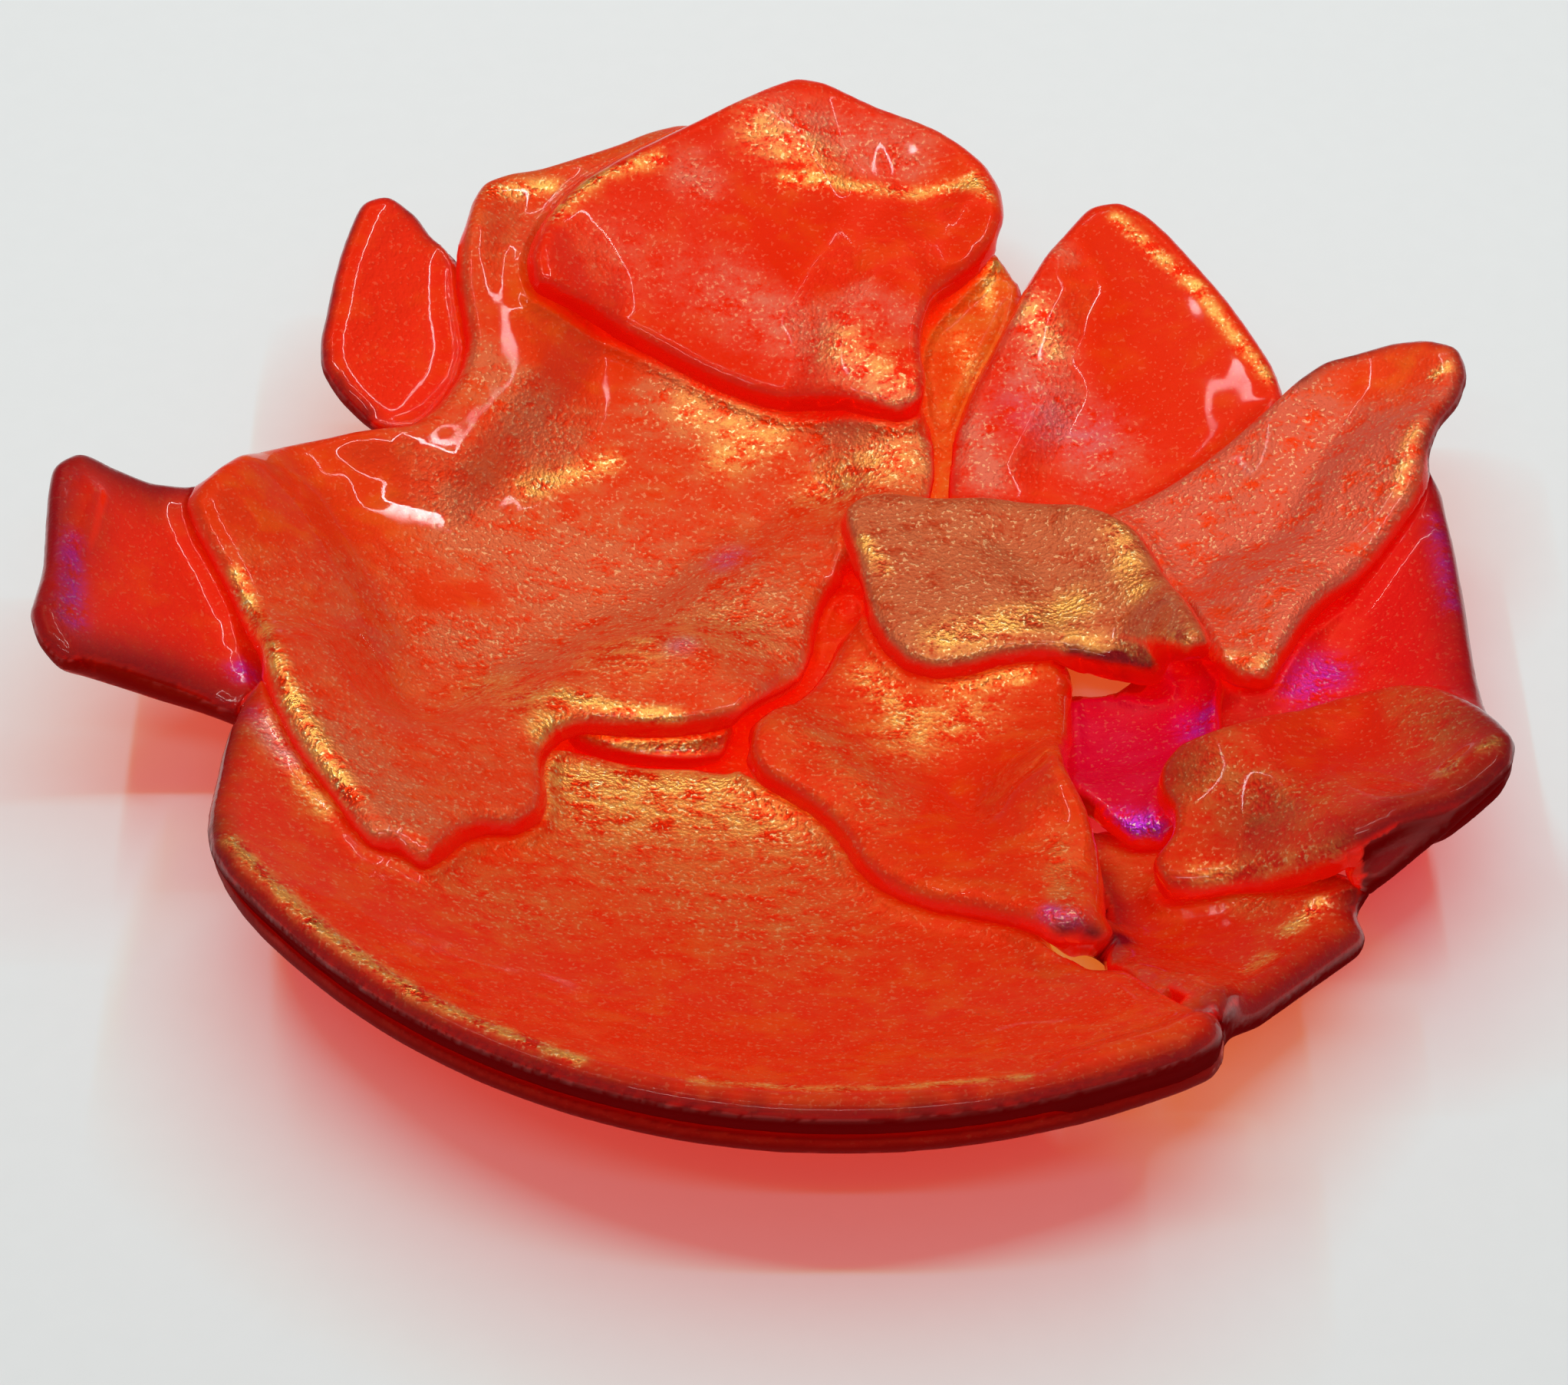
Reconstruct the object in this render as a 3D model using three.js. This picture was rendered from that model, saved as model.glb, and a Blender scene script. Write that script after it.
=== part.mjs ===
// A shallow bowl of fused glass. Irregular sheets of red-orange glass overlap like fallen leaves, melted
// together and slumped into a round mould. Millimetres, +Z up, origin at the middle of the foot.
import * as THREE from 'three';

// Driving dimensions
const SHEET = 2.8;
const CLEARANCE = 0.36;
const FOOT_RADIUS = 21;
const WALL_START = 11;
const WALL_RADIUS = 104;
const RIM_RADIUS = 69;
const LAYER_OVERHANG = 2;

// Edge of a sheet, softened by the fire: how far each ring stands in, and its share of the thickness
const EDGE_RINGS = [
  { inset: 0.8, share: 0 },
  { inset: 0.1, share: 0.3 },
  { inset: 0.1, share: 0.7 },
  { inset: 0.8, share: 1 },
];

// Fineness of the faceted surfaces
const EDGE_STEP = 3.3;
const SURFACE_STEP = 4.8;
const SHORTEST_TO_EDGE = 2.4;

// How an upper sheet sags over the edge of a lower one
const HOLD = 3.2;
const SAG_REACH = 3;
const FIELD_STEP = 1.5;
const FIELD_HALF = 90;

// Finishes, as seen in daylight
const FINISH = {
  redOrange: { color: 0xd8340f, roughness: 0.16 },
  scarlet: { color: 0xd81a08, roughness: 0.12 },
  orange: { color: 0xd9571b, roughness: 0.2 },
  magenta: { color: 0xce1540, roughness: 0.18 },
  gold: { color: 0xbc6c40, roughness: 0.3 },
};

// The mould: a round wall, and a flat floor that cuts it off at the foot
function wallHeight(radius) {
  const run = Math.max(radius - WALL_START, 0);
  return WALL_RADIUS - Math.sqrt(WALL_RADIUS * WALL_RADIUS - run * run);
}

function mouldHeight(radius) {
  return Math.max(wallHeight(radius) - wallHeight(FOOT_RADIUS), 0);
}

function onMould(x, y, lift) {
  const radius = Math.hypot(x, y);
  const slant = Math.max(radius - WALL_START, 0) / WALL_RADIUS;
  const upright = Math.sqrt(1 - slant * slant);
  const inward = radius > 0 ? slant / radius : 0;
  return new THREE.Vector3(x - lift * inward * x, y - lift * inward * y, mouldHeight(radius) + lift * upright);
}

// Points along a round stretch of the rim, angles in degrees from +X
function rimArc(radius, fromDegrees, toDegrees, steps) {
  return Array.from({ length: steps + 1 }, (_, i) => {
    const angle = THREE.MathUtils.degToRad(fromDegrees + ((toDegrees - fromDegrees) * i) / steps);
    return [radius * Math.cos(angle), radius * Math.sin(angle)];
  });
}

// Plan outlines of the sheets, in the order they were laid, with the sheets that each one lies over
const SHEETS = [
  {
    name: 'rim_under_sheet',
    finish: 'scarlet',
    over: [],
    outline: [
      ...rimArc(RIM_RADIUS, 217, 299, 9), [34.5, -57], [32, -53.5], [28, -50], [23, -47.5], [19.5, -44],
      [17.5, -36], [17, -25], [15.5, -12], [14.5, 0], [13, 12], [9, 18.5], [1, 18], [-6, 13.5], [-12, 8],
      [-19, 2], [-27, -4], [-33, -11], [-38, -17], [-44, -18.5], [-50, -17.5], [-56, -18], [-59, -21],
      [-59, -28], [-58.5, -34],
    ],
  },
  {
    name: 'left_prong',
    finish: 'scarlet',
    over: [],
    outline: [
      [-77.2, 3], [-76.8, -4], [-77, -11.5], [-74, -15.5], [-69, -13.5], [-62, -12.7], [-57, -13.5],
      [-54, -10], [-53, -3], [-55, 5], [-58, 11], [-61, 14], [-66, 14], [-71, 12.2], [-74.5, 13],
      [-77, 10.5],
    ],
  },
  {
    name: 'left_fin',
    finish: 'redOrange',
    over: [],
    outline: [
      [-53.3, 34.5], [-53, 41], [-51.6, 48.5], [-48.8, 54.8], [-45, 54.3], [-41.5, 50.8], [-36.5, 47],
      [-34.5, 42], [-36, 36], [-39, 31], [-43, 28.5], [-48, 29.5],
    ],
  },
  {
    name: 'back_sliver',
    finish: 'orange',
    over: [],
    outline: [
      [11, 52], [14, 55], [17.5, 55.5], [20, 51.5], [19.5, 44], [18, 37], [16, 30], [13.5, 24], [10, 23],
      [8, 30], [6.5, 38], [7, 46],
    ],
  },
  {
    name: 'right_front_rim',
    finish: 'redOrange',
    over: ['rim_under_sheet'],
    outline: [
      [49.5, -36], [46.5, -39.5], [42.5, -44], [39, -49], [36.5, -54.5], [35, -58], [32, -53.5], [29, -48.5],
      [25.6, -44.3], [25.4, -38], [25, -33], [22.8, -29], [22.8, -23], [27, -20], [33, -20], [38, -22.5],
      [42, -27], [46.5, -32],
    ],
  },
  {
    name: 'magenta_sheet',
    finish: 'magenta',
    over: ['right_front_rim'],
    outline: [
      [19.5, -3], [23.5, -0.7], [27.5, -1.5], [30.5, 0.5], [33.5, 4], [38, 5], [42, 3], [42.5, -5], [41, -12],
      [38.5, -17], [34.5, -21], [33, -24.5], [30.5, -26], [28, -24.5], [25.5, -20.5], [21, -17], [19, -11],
    ],
  },
  {
    name: 'right_rim',
    finish: 'scarlet',
    over: ['magenta_sheet', 'right_front_rim'],
    outline: [
      [60.3, 19.5], [61.8, 11], [62.3, 2], [62.3, -8], [62.7, -15], [64, -21], [63.5, -25], [59, -29], [53, -32.5],
      [50, -33], [47.5, -28.5], [43, -21.5], [39.5, -18.5], [38.5, -10], [39.5, -3], [45, 4], [51, 11.5],
      [56, 17.5],
    ],
  },
  {
    name: 'front_crescent',
    finish: 'orange',
    over: ['rim_under_sheet', 'left_prong'],
    outline: [
      ...rimArc(RIM_RADIUS + LAYER_OVERHANG, 213.5, 298.5, 10), [33.5, -59], [31, -54.7], [28.3, -49.8],
      [25.8, -46.2], [23.5, -46.1],
      [21.3, -44], [19.7, -39], [15.5, -32], [10, -28], [4, -23.5], [-1, -17.5], [-6, -15], [-12.5, -13.5],
      [-20, -13.5], [-27, -12.3], [-32, -12.5], [-37, -18], [-42, -20.5], [-48, -15.5], [-53, -10.5],
      [-57.5, -11.5], [-59.3, -17], [-60, -26],
    ],
  },
  {
    name: 'gap_fragment',
    finish: 'orange',
    over: ['rim_under_sheet'],
    outline: [[-27, -9], [-24.5, -5], [-18.5, -2], [-12, -3.5], [-10, -8], [-12, -11], [-18, -11.3], [-24, -10.6]],
  },
  {
    name: 'broad_left_sheet',
    finish: 'orange',
    over: ['rim_under_sheet', 'left_prong', 'left_fin', 'back_sliver', 'front_crescent', 'gap_fragment'],
    outline: [
      [-66, 10], [-62, 2.5], [-59.5, -3], [-58.3, -11], [-54.5, -21], [-49, -29.5], [-46, -34.5],
      [-43.5, -33.8], [-41, -36.5], [-38.5, -33], [-36.5, -29], [-31, -27], [-29.5, -23], [-30, -16],
      [-27, -11], [-21, -10.3], [-14.5, -9.8], [-9.5, -8], [-5.5, -3.5], [-3, 1], [-2, 8], [0.5, 14.5],
      [5, 19], [8.7, 22], [10.6, 28], [10, 34], [8, 41], [5, 51], [-1.5, 61.5], [-9, 66.5], [-16, 68.5],
      [-24, 65.3], [-31.5, 61.8], [-37.2, 59.3], [-39.8, 53.5], [-40.3, 46.5], [-39, 40], [-40.5, 34.5],
      [-45, 28.5], [-50, 26.8], [-56, 24.2], [-61.5, 19], [-65, 13.3],
    ],
  },
  {
    name: 'back_fan',
    finish: 'scarlet',
    over: ['back_sliver'],
    outline: [
      [20.3, 48], [24.3, 55], [28.7, 59.2], [33, 57.5], [38.8, 50.5], [44.3, 41.3], [47, 33.5], [44.5, 25.5],
      [39, 17], [32, 12], [23, 12], [15.5, 16.5], [12.7, 22], [13, 30], [14.5, 37], [17.5, 43],
    ],
  },
  {
    name: 'back_crown',
    finish: 'redOrange',
    over: ['broad_left_sheet', 'back_sliver'],
    outline: [
      [-33.5, 50], [-33, 47], [-28, 46], [-20.5, 43.5], [-13, 40], [-6, 37.5], [1, 36], [8.5, 34],
      [10.3, 37], [9.7, 43], [11.5, 49], [16, 53], [19, 58], [17.5, 63.5], [12.3, 68], [4.5, 71],
      [-3, 73.6], [-8.5, 71.4], [-15.5, 67.8], [-23, 63.5], [-29.5, 58.3],
    ],
  },
  {
    name: 'lower_right_prong',
    finish: 'orange',
    over: ['right_rim', 'magenta_sheet', 'right_front_rim'],
    outline: [
      [61.5, -15.5], [64.3, -21], [65.3, -26.3], [62, -30], [56.5, -34], [50.5, -37.5], [44.5, -37], [37.5, -34.5],
      [32, -34.5], [30.5, -32], [33.5, -29], [33.7, -25.5], [32, -22], [34, -19], [40, -18.5], [46, -15],
      [52, -11.5], [57.5, -11.5],
    ],
  },
  {
    name: 'centre_kite',
    finish: 'orange',
    over: ['rim_under_sheet', 'front_crescent', 'gap_fragment', 'magenta_sheet', 'right_front_rim'],
    outline: [
      [-6, -7.5], [-8.8, -12], [-7.5, -16.5], [-3, -20], [0, -24], [3, -31], [8, -35.5], [14, -38],
      [19, -41], [22, -43.2], [24.9, -41], [26, -32], [25.3, -26], [23.3, -20], [23.3, -9],
      [23.3, 0], [21.5, 6.5], [17, 11], [10.5, 12], [5, 10], [1.5, 6], [-0.5, 0.5], [-3, -4],
    ],
  },
  {
    name: 'right_kite',
    finish: 'orange',
    over: ['back_fan', 'right_rim', 'magenta_sheet'],
    outline: [
      [64.3, 31.8], [64.7, 27.5], [62, 21], [60.5, 15], [56.5, 9.5], [50.5, 2.5], [46.5, -4], [43.5, -9],
      [40.5, -6.5], [37, 2], [32.5, 9.5], [28.5, 15.5], [28, 20], [34, 22.5], [41, 26.5], [47, 30.7],
      [52.5, 34.5], [58.5, 35],
    ],
  },
  {
    name: 'centre_gold',
    finish: 'gold',
    over: ['broad_left_sheet', 'back_fan', 'back_sliver', 'centre_kite', 'right_kite', 'magenta_sheet'],
    outline: [
      [1, 21], [4, 23.3], [11, 22.3], [19, 22.3], [27, 20], [31.5, 16.5], [34.5, 9.5], [37.5, 1], [39.2, -6],
      [36.5, -6], [32.5, -2], [28, 1.5], [24, 0.5], [18, 0], [12, -2], [8, -1.8], [4.8, 2], [3, 8], [2, 15],
    ],
  },
];

// Plan geometry
function edgePoints(outline) {
  const corners = outline.map(([x, y]) => new THREE.Vector3(x, y, 0));
  const curve = new THREE.CatmullRomCurve3(corners, true, 'centripetal');
  const count = Math.round(curve.getLength() / EDGE_STEP);
  return curve.getSpacedPoints(count).slice(0, count).map((p) => new THREE.Vector2(p.x, p.y));
}

function counterClockwise(points) {
  return THREE.ShapeUtils.area(points) < 0 ? points.slice().reverse() : points;
}

function insetRing(points, inset) {
  return points.map((point, i) => {
    const before = points[(i + points.length - 1) % points.length];
    const after = points[(i + 1) % points.length];
    const along = after.clone().sub(before).normalize();
    return new THREE.Vector2(point.x - along.y * inset, point.y + along.x * inset);
  });
}

function isInside(x, y, ring) {
  let inside = false;
  ring.forEach((b, i) => {
    const a = ring[(i + ring.length - 1) % ring.length];
    const crosses = a.y > y !== b.y > y && x < ((b.x - a.x) * (y - a.y)) / (b.y - a.y) + a.x;
    inside = crosses ? !inside : inside;
  });
  return inside;
}

function distanceTo(x, y, ring) {
  let nearest = Infinity;
  ring.forEach((b, i) => {
    const a = ring[(i + ring.length - 1) % ring.length];
    const length2 = (b.x - a.x) ** 2 + (b.y - a.y) ** 2;
    const share = THREE.MathUtils.clamp(((x - a.x) * (b.x - a.x) + (y - a.y) * (b.y - a.y)) / length2, 0, 1);
    nearest = Math.min(nearest, Math.hypot(a.x + share * (b.x - a.x) - x, a.y + share * (b.y - a.y) - y));
  });
  return nearest;
}

function surfacePoints(ring) {
  const box = new THREE.Box2().setFromPoints(ring);
  const rowStep = SURFACE_STEP * Math.sqrt(0.75);
  const points = [];
  for (let row = 0; box.min.y + row * rowStep < box.max.y; row += 1) {
    const y = box.min.y + row * rowStep;
    for (let x = box.min.x + (row % 2) * SURFACE_STEP * 0.5; x < box.max.x; x += SURFACE_STEP) {
      if (isInside(x, y, ring) && distanceTo(x, y, ring) > SHORTEST_TO_EDGE) {
        points.push(new THREE.Vector2(x, y));
      }
    }
  }
  return points;
}

// Delaunay triangles of a set of plan points, added one by one
function circleOf(a, b, c) {
  const d = 2 * (a.x * (b.y - c.y) + b.x * (c.y - a.y) + c.x * (a.y - b.y));
  const a2 = a.lengthSq();
  const b2 = b.lengthSq();
  const c2 = c.lengthSq();
  const x = (a2 * (b.y - c.y) + b2 * (c.y - a.y) + c2 * (a.y - b.y)) / d;
  const y = (a2 * (c.x - b.x) + b2 * (a.x - c.x) + c2 * (b.x - a.x)) / d;
  return { x, y, r2: (a.x - x) ** 2 + (a.y - y) ** 2 };
}

function delaunay(points) {
  const far = 2000;
  const all = [...points, ...[[-far, -far], [far, -far], [0, far]].map(([x, y]) => new THREE.Vector2(x, y))];
  const make = (i, j, k) => ({ corners: [i, j, k], circle: circleOf(all[i], all[j], all[k]) });
  let triangles = [make(points.length, points.length + 1, points.length + 2)];
  points.forEach((point, index) => {
    const border = new Map();
    const hit = ({ circle }) => (point.x - circle.x) ** 2 + (point.y - circle.y) ** 2 < circle.r2;
    triangles.filter(hit).forEach(({ corners: [i, j, k] }) => {
      [[i, j], [j, k], [k, i]].forEach(([from, to]) => {
        if (!border.delete(`${to},${from}`)) {
          border.set(`${from},${to}`, [from, to]);
        }
      });
    });
    triangles = triangles.filter((triangle) => !hit(triangle));
    border.forEach(([from, to]) => triangles.push(make(from, to, index)));
  });
  return triangles.map(({ corners }) => corners).filter((corners) => Math.max(...corners) < points.length);
}

// Lift of a sheet above the mould, kept on a square grid so that it can sag smoothly
const FIELD_SIZE = Math.round((2 * FIELD_HALF) / FIELD_STEP) + 1;
const fieldPlace = (index) => index * FIELD_STEP - FIELD_HALF;

function makeField(valueAt) {
  return Float64Array.from({ length: FIELD_SIZE * FIELD_SIZE }, (_, index) => {
    return valueAt(index % FIELD_SIZE, Math.floor(index / FIELD_SIZE));
  });
}

function sampleField(field, x, y) {
  const column = (x + FIELD_HALF) / FIELD_STEP;
  const row = (y + FIELD_HALF) / FIELD_STEP;
  const c = Math.floor(column);
  const r = Math.floor(row);
  const at = (i, j) => field[(r + j) * FIELD_SIZE + c + i];
  const low = THREE.MathUtils.lerp(at(0, 0), at(1, 0), column - c);
  const high = THREE.MathUtils.lerp(at(0, 1), at(1, 1), column - c);
  return THREE.MathUtils.lerp(low, high, row - r);
}

const REACH_CELLS = Math.ceil(SAG_REACH / FIELD_STEP);
const REACH_OFFSETS = [];
for (let j = -REACH_CELLS; j <= REACH_CELLS; j += 1) {
  for (let i = -REACH_CELLS; i <= REACH_CELLS; i += 1) {
    if (Math.hypot(i, j) * FIELD_STEP <= SAG_REACH + 0.01) {
      REACH_OFFSETS.push([i, j]);
    }
  }
}

function filterField(field, combine) {
  return makeField((column, row) => {
    const inField = (index) => THREE.MathUtils.clamp(index, 0, FIELD_SIZE - 1);
    return combine(REACH_OFFSETS.map(([i, j]) => field[inField(row + j) * FIELD_SIZE + inField(column + i)]));
  });
}

function mean(values) {
  return values.reduce((sum, value) => sum + value, 0) / values.length;
}

// The sheet rests on the highest sheet below it, keeps that height a little past its edge, and sags beyond
function liftField(lowerSheets) {
  if (lowerSheets.length === 0) {
    return makeField(() => 0);
  }
  const support = makeField((column, row) => {
    const x = fieldPlace(column);
    const y = fieldPlace(row);
    const tops = lowerSheets.map(({ ring, box, field }) => {
      const away = box.distanceToPoint(new THREE.Vector2(x, y));
      if (away > HOLD || (!isInside(x, y, ring) && distanceTo(x, y, ring) > HOLD)) {
        return 0;
      }
      return field[row * FIELD_SIZE + column] + SHEET + CLEARANCE;
    });
    return Math.max(...tops);
  });
  const raised = filterField(support, (values) => Math.max(...values));
  return filterField(raised, mean);
}

// A closed plate: the plan triangles twice, and rings of facets round the edge
function plateGeometry(ring, field) {
  const inner = insetRing(ring, EDGE_RINGS[0].inset);
  const plan = [...inner, ...surfacePoints(inner)];
  const planTriangles = delaunay(plan).filter((corners) => {
    const middle = corners.reduce((sum, i) => sum.add(plan[i]), new THREE.Vector2()).divideScalar(3);
    return isInside(middle.x, middle.y, inner);
  });
  const positions = [];
  const add = ({ x, y }, share) => {
    positions.push(...onMould(x, y, sampleField(field, x, y) + share * SHEET).toArray());
    return positions.length / 3 - 1;
  };
  const bottom = plan.map((point) => add(point, 0));
  const top = plan.map((point) => add(point, 1));
  const middleRings = EDGE_RINGS.slice(1, -1).map(({ inset, share }) => {
    return insetRing(ring, inset).map((point) => add(point, share));
  });
  const triangles = [];
  planTriangles.forEach(([i, j, k]) => {
    triangles.push(bottom[k], bottom[j], bottom[i], top[i], top[j], top[k]);
  });
  const rings = [bottom.slice(0, ring.length), ...middleRings, top.slice(0, ring.length)];
  rings.slice(1).forEach((upper, level) => {
    const lower = rings[level];
    ring.forEach((_, i) => {
      const next = (i + 1) % ring.length;
      triangles.push(lower[i], lower[next], upper[next], lower[i], upper[next], upper[i]);
    });
  });
  const geometry = new THREE.BufferGeometry();
  geometry.setAttribute('position', new THREE.Float32BufferAttribute(positions, 3));
  geometry.setIndex(triangles);
  return geometry;
}

function glassMaterial(finishName) {
  return new THREE.MeshStandardMaterial({ ...FINISH[finishName], metalness: 0 });
}

function buildBowl() {
  const bowl = new THREE.Group();
  const laid = new Map();
  SHEETS.forEach(({ name, finish, over, outline }) => {
    const ring = counterClockwise(edgePoints(outline));
    const box = new THREE.Box2().setFromPoints(ring);
    const field = liftField(over.map((lower) => laid.get(lower)));
    laid.set(name, { ring, box, field });
    const mesh = new THREE.Mesh(plateGeometry(ring, field), glassMaterial(finish));
    mesh.name = name;
    bowl.add(mesh);
  });
  return bowl;
}

export default buildBowl();
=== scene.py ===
"""A shallow bowl of fused red-orange glass shards, on a pale floor in soft studio light.

Each shard is a softened copy of its plain plate, with round ropes of glass where an edge drew up in the
fire. One skin round all the shards, with its notches closed, draws every shard towards it, so that the
shards look melted together. The glass takes its colour from absorption. A thin iridescent film lies on the
upper faces, painted in strokes whose places are millimetres seen from above. Light and shade are painted
as well: painted shade on the outer edges and on some lips, painted glints on single grains, and a painted
glow on the inner edges.
"""
import logging
import math
from dataclasses import dataclass, field
from enum import Enum

import bpy
import numpy as np
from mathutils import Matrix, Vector
from mathutils.bvhtree import BVHTree
from mathutils.kdtree import KDTree


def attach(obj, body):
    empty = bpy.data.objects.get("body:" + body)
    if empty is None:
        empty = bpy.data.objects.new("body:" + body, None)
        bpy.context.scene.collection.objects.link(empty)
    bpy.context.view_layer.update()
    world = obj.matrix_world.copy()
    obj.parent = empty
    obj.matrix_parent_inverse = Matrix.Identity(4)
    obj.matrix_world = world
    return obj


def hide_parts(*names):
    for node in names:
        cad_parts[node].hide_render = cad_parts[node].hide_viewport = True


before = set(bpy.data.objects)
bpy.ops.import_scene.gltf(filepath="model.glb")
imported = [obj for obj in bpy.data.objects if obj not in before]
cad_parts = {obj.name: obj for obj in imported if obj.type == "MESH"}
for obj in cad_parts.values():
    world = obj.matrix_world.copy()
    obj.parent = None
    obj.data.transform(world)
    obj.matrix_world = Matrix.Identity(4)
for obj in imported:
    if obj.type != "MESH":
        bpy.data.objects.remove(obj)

LOG = logging.getLogger("bowl")
MM = 0.001
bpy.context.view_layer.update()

Colour = tuple[float, float, float]
Place = tuple[float, float, float]

# The Mix node's own socket numbers when it mixes colours.
MIX_SHARE = 0
MIX_LOW = 6
MIX_HIGH = 7
MIX_COLOUR = 2

# Colours of the film and of the edges, with a painted glint, painted shade and a painted glow.
BLACK = (0.0, 0.0, 0.0)
WHITE = (1.0, 1.0, 1.0, 1.0)
GOLD_FILM = (0.88, 0.42, 0.09)
VIOLET_FILM = (0.40, 0.02, 0.50)
# A painted glint: the bright gold that single grains are painted with.
GLINT = (1.0, 0.74, 0.34)
BRIGHT_SIDE = (0.80, 0.010, 0.002)
# Painted shade: the dark maroon of the bowl's outer edges.
SHADED_EDGE_COLOUR = (0.17, 0.0003, 0.001)
# Painted shade for the lips of holes and along the outer rims.
SHADE = (0.15, 0.0004, 0.006)
# A painted glow that the inner edges give off, standing in for light carried through the glass.
GLOW = (0.24, 0.0015, 0.0002)

# How much of the clear glass the film hides, on the upper face, on the sides and on the painted-shade edges.
TOP_COVER = 0.9
SIDE_COVER = 0.55
SHADED_EDGE_COVER = 0.43

# The film's patterns: sizes in millimetres, and the noise values between which each one sets in.
GRAIN_MM = 0.42
FINE_MM = 1.7
FINE_STRETCH = (0.65, 1.0, 1.0)
FINE_HEIGHT = 0.8
MOTTLE_MM = 6.0
WARM_RANGE = (0.42, 0.85)
GLINT_RANGE = (0.61, 0.69)
BUMP_STRENGTH = 0.6
BUMP_DISTANCE = 0.3 * MM

# The spots that break up each stroke of film: the share of each noise, how strongly they show, and how
# full each kind of film is between them.
SPOT_GRAIN = 0.7
SPOT_FINE = 1.3
SPOT_CONTRAST = 3.4
HAZE_FULLNESS = 1.0
GOLD_FULLNESS = 0.7
VIOLET_FULLNESS = 0.9

# The warmer tone that the glass has in places, as a multiple of its own green and blue and a little more.
WARM_GREEN = 2.0
WARM_GREEN_LIFT = 0.006
WARM_BLUE = 1.5

# How often single grains get a painted glint, how far each film is like a mirror, and how rough the bare
# glass is.
GLINT_BARE = 0.06
GLINT_ON_GOLD = 0.8
GLINT_ON_FILM = 0.3
SHINE_BARE = 0.1
SHINE_OF_COLOUR = 0.5
SHINE_OF_HAZE = 0.2
SHINE_OF_GLINTS = 0.6
BARE_GRAIN = 0.3

# How the film and the glass reflect. The warm tints keep the reds pure.
SIDE_ROUGHNESS = 0.2
TOP_ROUGHNESS = 0.22
GOLD_SMOOTHNESS = 0.1
FILM_SPECULAR = 0.14
FILM_SPECULAR_TINT = (1.0, 0.35, 0.1, 1.0)
COAT_ROUGHNESS = 0.04
COAT_IOR = 1.4
# How far the painted glow fades on edges that carry painted shade.
GLOW_FADE = 0.92
SHADE_DULLING = 0.8
GLASS_ROUGHNESS = 0.05
FROSTING = 0.2
GLASS_IOR = 1.5
GLASS_SPECULAR_TINT = (1.0, 0.3, 0.1, 1.0)
GLASS_DENSITY = 1700.0
THROUGH = (0.97, 0.94, 0.90, 1.0)

# How the shards flow together, in millimetres where nothing else is said.
SHARD_GRID_MM = 0.45
SHARD_SWELL_MM = 0.22
WELD_MM = 0.01
LAYER_STEP_MM = 0.008
FLOOR_GAP_MM = 0.02
BESIDE_MM = 1.5
FACING_FULLY = 0.4
STEEP_NORMAL = 0.75
RIPPLE_SCALE = 0.009
# How strongly painted shade darkens the glass along the bowl's outer edge.
EDGE_DARKNESS = 0.9
OUTER_EDGE = 0.8
SHARD_ROUNDS = 3
LAST_ROUNDS = 2

# The parts of an outward direction between which each painted value rises from 0 to 1.
SIDE_RANGE = (0.65, 0.9)
SHEET_RANGE = (0.25, 0.65)
UPWARD_RANGE = (0.1, 0.55)
FLAT_RANGE = (0.79, 0.94)
LIT_RANGE = (0.15, 0.45)


class Socket:
    """A shader value that can be written into sums and products."""

    def __init__(self, tree: "ShaderTree", socket: bpy.types.NodeSocket) -> None:
        """Wraps a node's output."""
        self.tree = tree
        self.socket = socket

    def _math(self, operation: str, *values: "Socket | float") -> "Socket":
        """Adds a Math node on the given values."""
        return self.tree.node("ShaderNodeMath", {"operation": operation}, list(values))

    def __add__(self, other: "Socket | float") -> "Socket":
        """Sum."""
        return self._math("ADD", self, other)

    def __radd__(self, other: float) -> "Socket":
        """Sum with a number on the left."""
        return self._math("ADD", other, self)

    def __sub__(self, other: "Socket | float") -> "Socket":
        """Difference."""
        return self._math("SUBTRACT", self, other)

    def __rsub__(self, other: float) -> "Socket":
        """Difference with a number on the left."""
        return self._math("SUBTRACT", other, self)

    def __mul__(self, other: "Socket | float") -> "Socket":
        """Product."""
        return self._math("MULTIPLY", self, other)

    def __rmul__(self, other: float) -> "Socket":
        """Product with a number on the left."""
        return self._math("MULTIPLY", other, self)

    def clamped(self) -> "Socket":
        """The value held between 0 and 1."""
        return self._math("MINIMUM", self._math("MAXIMUM", self, 0.0), 1.0)

    def ramp(self, low: float, high: float) -> "Socket":
        """0 below low, 1 above high, and smooth between.

        Args:
            low: value that gives 0.
            high: value that gives 1.

        Returns:
            The smoothed value.
        """
        settings = {"interpolation_type": "SMOOTHSTEP"}
        values = {"Value": self, "From Min": low, "From Max": high}
        return self.tree.node("ShaderNodeMapRange", settings, values)


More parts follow.
